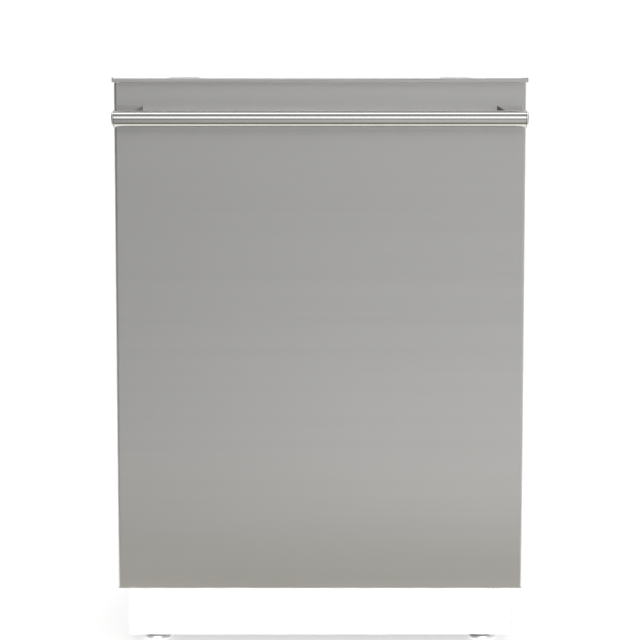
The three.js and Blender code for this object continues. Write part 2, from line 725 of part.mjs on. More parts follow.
function cutleryBasket() {
  const { x, y, z } = BASKET;
  const wall = 2;
  const cells = spaced(y[0] + wall, y[1] - wall, 4);
  let shape = box(x, y, z);
  for (let i = 0; i < 3; i += 1) {
    const room = [cells[i] + (i ? 1 : 0), cells[i + 1] - (i < 2 ? 1 : 0)];
    shape = cut(shape, box([x[0] + wall, x[1] - wall], room, [z[0] + wall, z[1] + 1]));
  }
  const middle = (y[0] + y[1]) / 2;
  return join(
    shape,
    box([x[0], x[0] + wall], around(middle, 8), [z[1] - 2, 396]),
    box([x[1] - wall, x[1]], around(middle, 8), [z[1] - 2, 396]),
    box(x, around(middle, 8), [393, 396]),
  );
}

function upperRack() {
  const { floor } = UPPER_RACK;
  const parts = [basket(UPPER_RACK, { lengthwise: 6, crosswise: 4, hoops: [590, 648], uprights: 5 })];
  for (const x of [-150, 44]) {
    for (const y of spaced(-120, 200, 6)) parts.push(wireZ(x, y, [floor + 1, 580]));
    parts.push(wireY(x, [UPPER_RACK.front, UPPER_RACK.back], floor + half));
  }
  return join(...parts);
}

function rackRunner(side) {
  return box(span(side, UPPER_RACK.half + GAP, 278), [-180, 265], [RAIL_Z[0] + 9, RAIL_Z[1] - 9]);
}

function upperFeedPipe() {
  return join(
    box([-10, 10], [ARM_Y, 257.6], [516, 527]),
    rod('z', 16, [514, 528], [0, ARM_Y], 16),
    rod('z', 7, [503, 516], [0, ARM_Y], 12),
  );
}

const SHELF = { x: [150, 250], y: [-150, 120], z: 600 };

function cupShelf() {
  const { x, y, z } = SHELF;
  const across = [x[0] + 1, x[1] - 1];
  return join(
    ...[x[0] + half, (x[0] + x[1]) / 2, x[1] - half].map((at) => wireY(at, y, z)),
    ...spaced(y[0] + half, y[1] - half, 5).map((at) => wireX(across, at, z - half)),
  );
}

piece('lower_rack', lowerRack(), COATED_WIRE);
piece('folding_tines', foldingTines(), COATED_WIRE);
piece('cutlery_basket', cutleryBasket(), GREY_PLASTIC);
piece('upper_rack', upperRack(), COATED_WIRE);
piece('upper_feed_pipe', upperFeedPipe(), GREY_PLASTIC);
piece('cup_shelf', cupShelf(), COATED_WIRE);
for (const [name, side] of SIDES) {
  piece(`rack_wheel_front_${name}`, rackWheel(side, WHEEL_Y[0]), GREY_PLASTIC);
  piece(`rack_wheel_rear_${name}`, rackWheel(side, WHEEL_Y[1]), GREY_PLASTIC);
  piece(`rack_runner_${name}`, rackRunner(side), TUB_STEEL);
}

export default group;
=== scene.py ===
"""The looks of a built-in dishwasher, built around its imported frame.

Lengths are in metres, apart from those given to mm(), outline() and box_of(), which take millimetres.
"""

import json
import math

import bmesh
import bpy
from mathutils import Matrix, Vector


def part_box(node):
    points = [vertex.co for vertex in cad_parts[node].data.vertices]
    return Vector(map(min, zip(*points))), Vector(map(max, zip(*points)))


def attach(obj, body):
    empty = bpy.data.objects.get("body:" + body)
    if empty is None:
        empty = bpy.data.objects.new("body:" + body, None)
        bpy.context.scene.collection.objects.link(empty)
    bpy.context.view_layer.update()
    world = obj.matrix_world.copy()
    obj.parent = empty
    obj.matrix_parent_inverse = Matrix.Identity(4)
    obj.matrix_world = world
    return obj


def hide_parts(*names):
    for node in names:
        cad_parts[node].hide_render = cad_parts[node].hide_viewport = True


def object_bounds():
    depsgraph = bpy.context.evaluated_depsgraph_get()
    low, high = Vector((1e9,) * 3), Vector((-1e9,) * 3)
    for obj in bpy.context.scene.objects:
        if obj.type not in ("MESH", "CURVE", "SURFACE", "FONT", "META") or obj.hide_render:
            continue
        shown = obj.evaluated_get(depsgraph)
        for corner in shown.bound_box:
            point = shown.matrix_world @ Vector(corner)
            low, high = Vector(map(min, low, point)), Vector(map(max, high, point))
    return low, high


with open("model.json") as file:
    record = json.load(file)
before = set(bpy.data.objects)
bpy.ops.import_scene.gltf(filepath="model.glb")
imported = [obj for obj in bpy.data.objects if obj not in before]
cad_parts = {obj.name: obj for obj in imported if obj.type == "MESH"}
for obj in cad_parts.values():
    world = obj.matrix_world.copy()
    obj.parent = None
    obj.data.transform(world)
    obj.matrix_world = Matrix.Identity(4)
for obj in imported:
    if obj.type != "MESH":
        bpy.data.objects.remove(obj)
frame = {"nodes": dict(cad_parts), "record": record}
CAD_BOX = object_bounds()
NODES = frame["nodes"]
BODY_OF = {
    node: body
    for body, members in frame["record"]["behaviour"]["bodies"].items()
    for node in members
}
SLOT_OF = {part["node"]: part["material_slot"] for part in frame["record"]["subparts"]}
SIDES = (("left", -1), ("right", 1))
MM = 0.001
NEAR_AXIS = 0.01  # millimetres: the radius at which a turned profile meets its axis
SMOOTH_ANGLE = math.radians(38)


# ---- Materials -----------------------------------------------------------------------------------


class Nodes:
    """A new node material, with a Principled shader and short calls for the nodes that feed it."""

    def __init__(self, name):
        self.material = bpy.data.materials.new(name)
        self.material.use_nodes = True
        self.tree = self.material.node_tree
        self.shader = self.tree.nodes["Principled BSDF"]
        self.place = self.add("ShaderNodeTexCoord").outputs["Object"]

    def add(self, kind, **values):
        node = self.tree.nodes.new(kind)
        for key, value in values.items():
            setattr(node, key, value)
        return node

    def link(self, output, socket):
        self.tree.links.new(output, socket)

    def set(self, **values):
        """Values that are the same all over, on the shader's own sockets."""
        for key, value in values.items():
            self.shader.inputs[key.replace("_", " ")].default_value = value

    def stretched(self, scale):
        mapping = self.add("ShaderNodeMapping")
        mapping.inputs["Scale"].default_value = scale
        self.link(self.place, mapping.inputs["Vector"])
        return mapping.outputs["Vector"]

    def noise(self, scale, stretch=(1, 1, 1), detail=3.0, roughness=0.5):
        node = self.add("ShaderNodeTexNoise")
        node.inputs["Scale"].default_value = scale
        node.inputs["Detail"].default_value = detail
        node.inputs["Roughness"].default_value = roughness
        self.link(self.stretched(stretch), node.inputs["Vector"])
        return node.outputs["Fac"]

    def spread(self, value, low, high, start=0.3, end=0.7):
        """A value between start and end, mapped to low to high."""
        node = self.add("ShaderNodeMapRange")
        for key, number in (("From Min", start), ("From Max", end), ("To Min", low), ("To Max", high)):
            node.inputs[key].default_value = number
        self.link(value, node.inputs["Value"])
        return node.outputs["Result"]

    def tint(self, value, dark, light):
        """A colour between two colours."""
        node = self.add("ShaderNodeMix", data_type="RGBA")
        node.inputs["A"].default_value = (*dark, 1)
        node.inputs["B"].default_value = (*light, 1)
        self.link(value, node.inputs["Factor"])
        return node.outputs["Result"]

    def sum(self, first, second, operation="ADD"):
        node = self.add("ShaderNodeMath", operation=operation)
        self.link(first, node.inputs[0])
        self.link(second, node.inputs[1])
        return node.outputs[0]

    def bump(self, height, distance, strength=1.0):
        node = self.add("ShaderNodeBump")
        node.inputs["Distance"].default_value = distance
        node.inputs["Strength"].default_value = strength
        self.link(height, node.inputs["Height"])
        self.link(node.outputs["Normal"], self.shader.inputs["Normal"])

    def worn_edges(self, colour, bare, sharp=0.52, full=0.62):
        """Mixes in a second colour where the surface is pointed, as handling wears it."""
        pointed = self.add("ShaderNodeNewGeometry").outputs["Pointiness"]
        node = self.add("ShaderNodeMix", data_type="RGBA")
        self.link(self.spread(pointed, 0.0, 1.0, sharp, full), node.inputs["Factor"])
        self.link(colour, node.inputs["A"])
        node.inputs["B"].default_value = (*bare, 1)
        return node.outputs["Result"]

    def painted_groove_shade(self, colour, clear=0.47, full=0.40, depth=0.35):
        """Darkens a colour in narrow grooves and corners with painted shade, for the shade that falls there.
        """
        pointed = self.add("ShaderNodeNewGeometry").outputs["Pointiness"]
        darker = self.add("ShaderNodeMix", data_type="RGBA", blend_type="MULTIPLY")
        self.link(self.spread(pointed, 1.0, 0.0, full, clear), darker.inputs["Factor"])
        self.link(colour, darker.inputs["A"])
        darker.inputs["B"].default_value = (depth, depth, depth * 0.95, 1)
        return darker.outputs["Result"]


def shade(value, factor):
    """A colour made darker or lighter."""
    return tuple(min(1.0, channel * factor) for channel in value)


def brushed_steel(name, base, roughness, grain=(6, 2600, 2600), contrast=0.02, anisotropy=0.6):
    """Steel brushed along X: hair-fine scratches, and broad faint bands where the belt pressed harder."""
    m = Nodes(name)
    fine = m.noise(1.0, grain, detail=2.0)
    bands = m.noise(1.0, (0.8, 60, 60), detail=2.0)
    smudges = m.noise(4.0, (1, 1, 1.6), detail=3.0)
    both = m.sum(fine, bands)
    colour = m.tint(
        m.spread(both, 0.0, 1.0, 0.7, 1.3), shade(base, 1 - contrast), shade(base, 1 + contrast)
    )
    # Painted shade darkens the grooves and corners; pointed edges are paler with wear.
    m.link(m.worn_edges(m.painted_groove_shade(colour), shade(base, 1.12)), m.shader.inputs["Base Color"])
    rough = m.sum(m.spread(fine, -0.015, 0.015), m.spread(smudges, roughness - 0.01, roughness + 0.015))
    m.link(rough, m.shader.inputs["Roughness"])
    m.bump(fine, 0.000004, 0.3)
    m.set(Metallic=1.0, Anisotropic=anisotropy)
    return m.material


def polished_steel(name, base, roughness):
    """Polished steel: near mirror-bright, with fine lengthwise polishing lines and faint finger haze."""
    m = Nodes(name)
    lines = m.noise(1.0, (4, 1400, 1400), detail=2.0)
    haze = m.noise(9.0, (1, 3, 3), detail=4.0)
    colour = m.tint(m.spread(lines, 0, 1), shade(base, 0.985), shade(base, 1.01))
    m.link(colour, m.shader.inputs["Base Color"])
    rough = m.sum(m.spread(lines, -0.01, 0.01), m.spread(haze, roughness - 0.01, roughness + 0.03))
    m.link(rough, m.shader.inputs["Roughness"])
    m.set(Metallic=1.0, Anisotropic=0.3)
    return m.material


def bright_steel(name, base, roughness):
    """The tub's stainless sheet: smooth, with a soft cloudy sheen and fine vertical lines."""
    m = Nodes(name)
    clouds = m.noise(7.0, detail=4.0)
    lines = m.noise(1.0, (420, 420, 3), detail=2.0)
    colour = m.tint(m.spread(clouds, 0, 1), shade(base, 0.92), shade(base, 1.05))
    m.link(m.worn_edges(colour, shade(base, 1.15)), m.shader.inputs["Base Color"])
    m.link(
        m.sum(m.spread(lines, -0.015, 0.015), m.spread(clouds, roughness - 0.03, roughness + 0.04)),
        m.shader.inputs["Roughness"],
    )
    m.bump(lines, 0.000004, 0.3)
    m.set(Metallic=1.0)
    return m.material


def zinc_plate(name, base):
    """Zinc-plated steel: a grey spangle, duller in patches."""
    m = Nodes(name)
    cells = m.add("ShaderNodeTexVoronoi")
    cells.inputs["Scale"].default_value = 160.0
    m.link(m.place, cells.inputs["Vector"])
    clouds = m.noise(40.0, detail=4.0)
    mixed = m.sum(m.spread(cells.outputs["Distance"], 0, 0.5, 0, 0.8), m.spread(clouds, 0, 0.5))
    colour = m.tint(mixed, shade(base, 0.8), shade(base, 1.12))
    m.link(m.worn_edges(colour, shade(base, 1.25)), m.shader.inputs["Base Color"])
    m.link(m.spread(clouds, 0.36, 0.52), m.shader.inputs["Roughness"])
    m.bump(clouds, 0.00005, 0.3)
    m.set(Metallic=1.0)
    return m.material


def moulded_plastic(name, base, roughness, grain=900.0, coat=0.0):
    """Moulded plastic: a fine spark-eroded grain, slight flow clouding, paler on rubbed edges."""
    m = Nodes(name)
    speckle = m.noise(grain, detail=3.0, roughness=0.6)
    clouds = m.noise(18.0, detail=3.0)
    colour = m.tint(m.spread(clouds, 0, 1), shade(base, 0.92), shade(base, 1.08))
    m.link(m.worn_edges(colour, shade(base, 1.3)), m.shader.inputs["Base Color"])
    m.link(
        m.sum(m.spread(speckle, -0.04, 0.04), m.spread(clouds, roughness - 0.03, roughness + 0.04)),
        m.shader.inputs["Roughness"],
    )
    m.bump(speckle, 0.00004, 0.35)
    m.set(Coat_Weight=coat, Coat_Roughness=0.15)
    return m.material


def powder_coat(name, base):
    """Powder paint: a very fine orange peel, darker on rubbed edges."""
    m = Nodes(name)
    peel = m.noise(420.0, detail=2.0)
    clouds = m.noise(9.0, detail=3.0)
    colour = m.tint(m.spread(clouds, 0, 1), shade(base, 0.975), shade(base, 1.02))
    m.link(m.worn_edges(colour, shade(base, 0.9)), m.shader.inputs["Base Color"])
    m.link(m.spread(peel, 0.4, 0.5), m.shader.inputs["Roughness"])
    m.bump(peel, 0.00008, 0.3)
    return m.material


def soft_rubber(name, base):
    """Dusty matt rubber."""
    m = Nodes(name)
    dust = m.noise(120.0, detail=5.0)
    m.link(m.tint(m.spread(dust, 0, 1), shade(base, 0.8), shade(base, 1.6)), m.shader.inputs["Base Color"])
    m.link(m.spread(dust, 0.6, 0.8), m.shader.inputs["Roughness"])
    m.bump(dust, 0.00006, 0.4)
    return m.material


def damping_felt(name, base):
    """Needled felt: matted fibres with soft lumps."""
    m = Nodes(name)
    fibres = m.noise(700.0, (1, 1.0, 0.35), detail=5.0, roughness=0.7)
    lumps = m.noise(60.0, detail=3.0)
    colour = m.tint(m.spread(fibres, 0, 1, 0.35, 0.65), shade(base, 0.6), shade(base, 1.9))
    m.link(colour, m.shader.inputs["Base Color"])
    m.link(m.spread(fibres, 0.85, 0.98), m.shader.inputs["Roughness"])
    m.bump(m.sum(fibres, lumps), 0.0006, 0.6)
    m.set(Sheen_Weight=0.35, Sheen_Roughness=0.5)
    return m.material


def circuit_board(name, base):
    """A lacquered board with rows of paler tracks."""
    m = Nodes(name)
    tracks = m.add("ShaderNodeTexBrick")
    tracks.inputs["Scale"].default_value = 130.0
    tracks.inputs["Color1"].default_value = (*base, 1)
    tracks.inputs["Color2"].default_value = (*shade(base, 0.7), 1)
    tracks.inputs["Mortar"].default_value = (*shade(base, 1.8), 1)
    m.link(m.place, tracks.inputs["Vector"])
    m.link(tracks.outputs["Color"], m.shader.inputs["Base Color"])
    m.link(m.spread(tracks.outputs["Fac"], 0.3, 0.5, 0, 1), m.shader.inputs["Roughness"])
    return m.material


def dark_glass(name):
    """Smoked glass with a faint haze."""
    m = Nodes(name)
    haze = m.noise(80.0, detail=3.0)
    colour = m.tint(m.spread(haze, 0, 1), (0.008, 0.008, 0.010), (0.014, 0.014, 0.017))
    m.link(colour, m.shader.inputs["Base Color"])
    m.link(m.spread(haze, 0.05, 0.09), m.shader.inputs["Roughness"])
    m.set(Coat_Weight=0.6, Coat_Roughness=0.04)
    return m.material


STEEL_BASE = (0.86, 0.855, 0.84)
MATERIALS = {
    "brushed": brushed_steel("brushed", STEEL_BASE, 0.36),
    "handle_steel": polished_steel("handle_steel", (0.69, 0.685, 0.675), 0.085),
    "tub_steel": bright_steel("tub_steel", (0.72, 0.725, 0.73), 0.27),
    "zinc": zinc_plate("zinc", (0.5, 0.52, 0.53)),
    "grey_plastic": moulded_plastic("grey_plastic", (0.19, 0.205, 0.22), 0.42),
    "light_plastic": moulded_plastic("light_plastic", (0.62, 0.63, 0.63), 0.4),
    "black_plastic": moulded_plastic("black_plastic", (0.022, 0.022, 0.025), 0.5),
    "white_paint": powder_coat("white_paint", (0.86, 0.86, 0.845)),
    "rubber": soft_rubber("rubber", (0.02, 0.02, 0.022)),
    "felt": damping_felt("felt", (0.045, 0.045, 0.048)),
    "coated_wire": moulded_plastic("coated_wire", (0.33, 0.35, 0.37), 0.3, 1400.0, 0.3),
    "circuit": circuit_board("circuit", (0.03, 0.15, 0.06)),
}
GLASS = dark_glass("display_glass")
# For the worktop brackets and feet, brighter than the other zinc so that they stand out less against white.
BRIGHT_ZINC = zinc_plate("bright_zinc", (0.88, 0.885, 0.885))


# ---- Shapes --------------------------------------------------------------------------------------


def unit_frame(direction):
    """Two unit vectors square to a direction and to each other."""
    along = Vector(direction).normalized()
    helper = Vector((0, 0, 1)) if abs(along.z) < 0.9 else Vector((1, 0, 0))
    first = along.cross(helper).normalized()
    return first, along.cross(first).normalized()


class Shape:
    """Closed surfaces gathered into one mesh."""

    def __init__(self):
        self.verts = []
        self.faces = []

    def loft(self, rings, closed=False):
        """Skins rings of equally many points. An open loft gets a cap at each end."""
        start = len(self.verts)
        count = len(rings[0])
        for ring in rings:
            self.verts.extend(Vector(p) for p in ring)
        pairs = len(rings) if closed else len(rings) - 1
        for i in range(pairs):
            a = start + i * count
            b = start + ((i + 1) % len(rings)) * count
            for j in range(count):
                k = (j + 1) % count
                self.faces.append((a + j, a + k, b + k, b + j))
        if not closed:
            last = start + (len(rings) - 1) * count
            self.faces.append(tuple(range(start + count - 1, start - 1, -1)))
            self.faces.append(tuple(range(last, last + count)))
        return self

    def turned(self, profile, centre, axis, sides=32):
        """A closed profile of (radius, distance along axis) points, turned about the axis through centre."""
        first, second = unit_frame(axis)
        along = Vector(axis).normalized()
        centre = Vector(centre)
        rings = []
        for i in range(sides):
            angle = 2 * math.pi * i / sides
            out = first * math.cos(angle) + second * math.sin(angle)
            rings.append([centre + out * radius + along * way for radius, way in profile])
        return self.loft(rings, closed=True)

    def disc(self, profile, centre, axis, sides=32):
        """A profile that starts and ends on the axis, turned about it."""
        first, second = unit_frame(axis)
        along = Vector(axis).normalized()
        centre = Vector(centre)
        rings = []
        for radius, way in profile:
            ring = []
            for i in range(sides):
                angle = 2 * math.pi * i / sides
                out = first * math.cos(angle) + second * math.sin(angle)
                ring.append(centre + out * radius + along * way)
            rings.append(ring)
        return self.loft(rings)

    def rod(self, start, end, radius, sides=16, chamfer=0.0005):
        """A round bar with softened ends."""
        start, end = Vector(start), Vector(end)
        length = (end - start).length
        soft = min(chamfer, radius * 0.5, length * 0.25)
        profile = [(radius - soft, 0), (radius, soft), (radius, length - soft), (radius - soft, length)]
        return self.disc(profile, start, end - start, sides)

    def wire(self, points, radius, bend=0.006, sides=8, closed=False):
        """A round wire through the points, with its corners bent to a radius."""
        path = [Vector(p) for p in points]
        if bend:
            path = rounded_path(path, bend, closed)
        rings = []
        first = None
        count = len(path)
        for i, point in enumerate(path):
            before = path[i - 1] if (i or closed) else point
            after = path[(i + 1) % count] if (i + 1 < count or closed) else point
            along = (after - before).normalized()
            if first is None:
                first = unit_frame(along)[0]
            first = (first - along * first.dot(along)).normalized()
            second = along.cross(first)
            rings.append([
                point + radius * (first * math.cos(a) + second * math.sin(a))
                for a in (2 * math.pi * k / sides for k in range(sides))
            ])
        return self.loft(rings, closed)

    def block(self, low, high, radius=0.001, segments=2):
        """A box with rounded edges."""
        low, high = Vector(low), Vector(high)
        bm = bmesh.new()
        bmesh.ops.create_cube(bm, size=1.0)
        size = high - low
        for vert in bm.verts:
            vert.co = (low + high) / 2 + Vector(c * s for c, s in zip(vert.co, size))
        soft = min(radius, min(size) * 0.45)
        if soft > 1e-6:
            bmesh.ops.bevel(
                bm, geom=list(bm.edges), offset=soft, segments=segments, profile=0.5, affect="EDGES"
            )
        return self.take(bm)

    def take(self, bm):
        """Adds a bmesh's surface and frees it."""
        bm.normal_update()
        start = len(self.verts)
        bm.verts.index_update()
        self.verts.extend(v.co.copy() for v in bm.verts)
        self.faces.extend(tuple(start + v.index for v in f.verts) for f in bm.faces)
        bm.free()
        return self

    def build(self, name, body, slot, material=None, replaces=()):
        """Makes the object, puts it on its body and gives it its material."""
        mesh = bpy.data.meshes.new(name)
        mesh.from_pydata([tuple(v) for v in self.verts], [], self.faces)
        bm = bmesh.new()
        bm.from_mesh(mesh)
        bmesh.ops.recalc_face_normals(bm, faces=bm.faces)
        bm.to_mesh(mesh)
        bm.free()
        mesh.polygons.foreach_set("use_smooth", [True] * len(mesh.polygons))
        mesh.set_sharp_from_angle(angle=SMOOTH_ANGLE)
        mesh.materials.append(material or MATERIALS[slot])
        piece = bpy.data.objects.new(name, mesh)
        bpy.context.scene.collection.objects.link(piece)
        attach(piece, body)
        if replaces:
            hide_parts(*replaces)
        return piece


def rounded_path(points, bend, closed=False, steps=4):
    """The points with each corner replaced by a short arc."""
    path = []
    count = len(points)
    for i, point in enumerate(points):
        if not closed and i in (0, count - 1):
            path.append(point)
            continue
        before = points[i - 1]
        after = points[(i + 1) % count]
        into, out = before - point, after - point
        reach = min(bend, into.length * 0.45, out.length * 0.45)
        a = point + into.normalized() * reach
        b = point + out.normalized() * reach
        for k in range(steps + 1):
            t = k / steps
            path.append(a * (1 - t) ** 2 + point * 2 * t * (1 - t) + b * t * t)
    return path


def stand_in(shape, node, material=None):
    """Builds the shape in place of a CAD node, on its body and in its slot."""
    return shape.build(node + "_shape", BODY_OF[node], SLOT_OF[node], material, (node,))


def dress(node, bevel=0.0006, segments=2, material=None):
    """Keeps a CAD node, with softened edges and a finished material."""
    piece = NODES[node]
    piece.data.materials.clear()
    piece.data.materials.append(material or MATERIALS[SLOT_OF[node]])
    piece.data.polygons.foreach_set("use_smooth", [True] * len(piece.data.polygons))
    with bpy.context.temp_override(object=piece, active_object=piece, selected_objects=[piece]):
        bpy.ops.mesh.customdata_custom_splitnormals_clear()
    weld = piece.modifiers.new("weld", "WELD")
    weld.merge_threshold = 0.00002
    if bevel:
        edge = piece.modifiers.new("edges", "BEVEL")
        edge.width = bevel
        edge.segments = segments
        edge.limit_method = "ANGLE"
        edge.angle_limit = math.radians(35)
        edge.harden_normals = False
    normals = piece.modifiers.new("normals", "WEIGHTED_NORMAL")
    normals.keep_sharp = True
    return piece


def middle(node):
    low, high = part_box(node)
    return (low + high) / 2


def spaced(first, last, count):
    """Evenly spaced values, with both ends."""
    return [first + (last - first) * i / (count - 1) for i in range(count)]


def mm(*values):
    return tuple(value * MM for value in values)


def outline(profile):
    """A profile's pairs of millimetres, in metres."""
    return [mm(*pair) for pair in profile]


def box_of(x, y, z, side=1):
    """Two corners of a box in metres. x is a distance from the middle plane, on the given side."""
    near, far = sorted((side * x[0], side * x[1]))
    return mm(near, y[0], z[0]), mm(far, y[1], z[1])


# ---- Camera, light and stage ---------------------------------------------------------------------

PANEL_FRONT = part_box("outer_panel")[0].y
DOOR_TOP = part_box("top_trim")[1].z


def make_camera():
    """Square on to the door, just above its top edge and tipped down, far enough away for a long lens."""
    distance, above, pitch = 3.423, 0.007, math.radians(6.02)
    data = bpy.data.cameras.new("camera")
    data.lens = 132
    data.sensor_width = 36
    data.clip_end = 100
    camera = bpy.data.objects.new("camera", data)
    camera.location = (0, PANEL_FRONT - distance, DOOR_TOP + above)
    camera.rotation_euler = (math.pi / 2 - pitch, 0, 0)
    bpy.context.scene.collection.objects.link(camera)
    bpy.context.scene.camera = camera


def area_light(name, place, target, size, power, colour=(1, 1, 1), spread=180):
    """A rectangular lamp, aimed at a point. The spread of its beam is in degrees."""
    data = bpy.data.lights.new(name, "AREA")
    data.shape = "RECTANGLE"
    data.size, data.size_y = size
    data.energy = power
    data.color = colour
    data.spread = math.radians(spread)
    light = bpy.data.objects.new(name, data)
    light.location = place
    aim = Vector(target) - Vector(place)
    light.rotation_euler = aim.to_track_quat("-Z", "Y").to_euler()
    bpy.context.scene.collection.objects.link(light)


ROOM_LEFT, ROOM_RIGHT = 0.06, 0.38  # strength of the room in front of the door
ROOM_BEHIND = 1.08


def make_room():
    """A white room behind the machine, and a grey one in front that is darker to the left."""
    world = bpy.data.worlds.new("room")
    bpy.context.scene.world = world
    world.use_nodes = True
    tree = world.node_tree
    background = tree.nodes["Background"]
    background.inputs["Color"].default_value = (1, 1, 1, 1)
    place = tree.nodes.new("ShaderNodeTexCoord")
    split = tree.nodes.new("ShaderNodeSeparateXYZ")
    tree.links.new(place.outputs["Generated"], split.inputs[0])

    def ramp(axis, start, end, low, high):
        node = tree.nodes.new("ShaderNodeMapRange")
        for key, value in (("From Min", start), ("From Max", end), ("To Min", low), ("To Max", high)):
            node.inputs[key].default_value = value
        tree.links.new(split.outputs[axis], node.inputs["Value"])
        return node.outputs["Result"]

    mix = tree.nodes.new("ShaderNodeMix")
    tree.links.new(ramp("Y", 0.1, 0.5, 0.0, 1.0), mix.inputs["Factor"])
    tree.links.new(ramp("X", -0.8, 0.1, ROOM_LEFT, ROOM_RIGHT), mix.inputs["A"])
    mix.inputs["B"].default_value = ROOM_BEHIND
    tree.links.new(mix.outputs["Result"], background.inputs["Strength"])


def make_lights():
    """Two softboxes above the camera, one overhead, and a narrow-beamed strip on the toe kick."""
    door = (0, PANEL_FRONT, 0.6)
    warm = (1.0, 0.99, 0.975)
    area_light("card", (0.25, -3.7, 2.75), door, (2.2, 0.6), 4.5, warm)
    area_light("front", (0.34, -3.7, 1.95), door, (2.1, 1.4), 8.4, warm)
    area_light("base", (0, -0.62, 0.045), (0, -0.17, 0.045), (0.95, 0.05), 0.45, spread=10)
    area_light("overhead", (0.0, -0.62, 2.9), (0, -0.45, 0.8), (2.4, 0.6), 9.0)
    make_room()


FLOOR_REACH = 14.0


def make_stage():
    """A plain pale floor. Three cards lie on it that only reflections see: grey, dark and cream."""
    pale = (0.92, 0.92, 0.915)
    for name, near, far, height, left, right, glow in (
        ("floor", -FLOOR_REACH, FLOOR_REACH, 0.0, pale, pale, 0.6),
        ("grey_card", -FLOOR_REACH, -1.02, 1 * MM, (0.28, 0.28, 0.28), (0.84, 0.84, 0.84), 0.04),
        ("dark_card", -1.02, -0.46, 1 * MM, (0.34, 0.315, 0.25), (0.38, 0.355, 0.285), 0.04),
        ("cream_card", -0.46, -0.24, 1 * MM, (0.80, 0.77, 0.70), (0.84, 0.81, 0.74), 0.85),
    ):
        m = Nodes(name)
        split = m.add("ShaderNodeSeparateXYZ")
        m.link(m.place, split.inputs[0])
        colour = m.tint(m.spread(split.outputs["X"], 0, 1, -1.2, 0.2), left, right)
        m.link(colour, m.shader.inputs["Base Color"])
        m.set(Roughness=0.9, Emission_Color=(1, 1, 0.995, 1), Emission_Strength=glow)
        top = CAD_BOX[0][2] + height
        plate = Shape().block((-FLOOR_REACH, near, top - 0.5 * MM), (FLOOR_REACH, far, top), 0.0)
        mesh = bpy.data.meshes.new(name)
        mesh.from_pydata([tuple(v) for v in plate.verts], [], plate.faces)
        mesh.materials.append(m.material)
        piece = bpy.data.objects.new(name, mesh)
        bpy.context.scene.collection.objects.link(piece)
        if height:
            piece.visible_camera = False
            piece.visible_diffuse = False
            piece.visible_shadow = False


# ---- Door ----------------------------------------------------------------------------------------


def make_handle():
    """The polished round bar and its two domed end caps."""
    low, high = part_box("handle_bar")
    centre = (low + high) / 2
    radius = (high.y - low.y) / 2
    start, end = (low.x, centre.y, centre.z), (high.x, centre.y, centre.z)
    stand_in(Shape().rod(start, end, radius, 96, 0.0004), "handle_bar")
    satin = brushed_steel("satin_cap", (0.92, 0.915, 0.90), 0.3, (900, 300, 300), 0.01, 0.0)
    straight, rise = 0.35, 0.5  # shares of a cap's length
    steps, tip = 5, 0.0001
    for name, side in SIDES:
        node = f"handle_cap_{name}"
        low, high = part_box(node)
        cap_radius = (high.z - low.z) / 2
        root = low.x if side > 0 else high.x
        length = high.x - low.x
        profile = [(tip, 0), (cap_radius, 0), (cap_radius, length * straight)]
        for k in range(1, steps + 1):
            turn = k / steps * math.pi / 2
            drawn_in = 1.2 * length * (1 - straight) * (1 - math.cos(turn))
            way = length * (straight + rise * math.sin(turn))
            profile.append((max(tip, cap_radius - drawn_in), way))
        profile.append((tip, length))
        cap = Shape().disc(profile, (root, centre.y, centre.z), (side, 0, 0), 48)
        stand_in(cap, node, satin)


def make_trim_details():
    """The display window and the touch pads, in the door's top edge."""
    top = DOOR_TOP - 1.2 * MM  # the trim's face, between its raised ends
    button_low, button_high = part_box("power_button")
    y = (button_low.y + button_high.y) / 2
    corners = (-0.0446, y - 0.0086, top - 0.0032), (0.0446, y + 0.0086, top - 0.0002)
    window = Shape().block(*corners, 0.0005, 3)
    window.build("display_window", "door", "black_plastic", GLASS)
    pads = Shape()
    ring = [(0.0054, 0), (0.0062, 0), (0.0062, 0.00035), (0.0054, 0.00035)]
    for x in [side * step for side in (-1, 1) for step in (0.080, 0.110, 0.140, 0.170)]:
        pads.turned(ring, (x, y, top - 0.0003), (0, 0, 1))
        pads.rod((x, y, top - 0.0006), (x, y, top + 0.00005), 0.0014)
    pads.build("touch_pads", "door", "black_plastic")


def make_door():
    """The handle, the trim's details, and the door's CAD pieces with softened edges."""
    make_handle()
    make_trim_details()
    for node, bevel in (
        ("outer_panel", 0.0004), ("top_trim", 0.0004), ("door_liner", 0.0005), ("door_insulation", 0.004),
        ("dispenser", 0.0012), ("detergent_lid", 0.0006), ("rinse_aid_cap", 0.0006), ("door_latch", 0.0005),
        ("control_board", 0.0003), ("power_button", 0.0006), ("start_button", 0.0006),
        ("hinge_arm_left", 0.0005), ("hinge_arm_right", 0.0005),
    ):
        dress(node, bevel)
    # Painted shade: the brackets get the panel's steel made darker, for the shade they sit in under the
    # trim's lip.
    shaded = brushed_steel("bracket_painted_shade", shade(STEEL_BASE, 0.42), 0.3, (500, 60, 500), 0.04, 0.2)
    for name, _ in SIDES:
        dress(f"handle_bracket_{name}", 0.0015, 3, shaded)


# ---- Racks and baskets ---------------------------------------------------------------------------


def arched(x0, x1, y, z_floor, z_top):
    """A wire across the rack: down one side, over the floor and up the other."""
    return [mm(x0, y, z_top), mm(x0, y, z_floor), mm(x1, y, z_floor), mm(x1, y, z_top)]


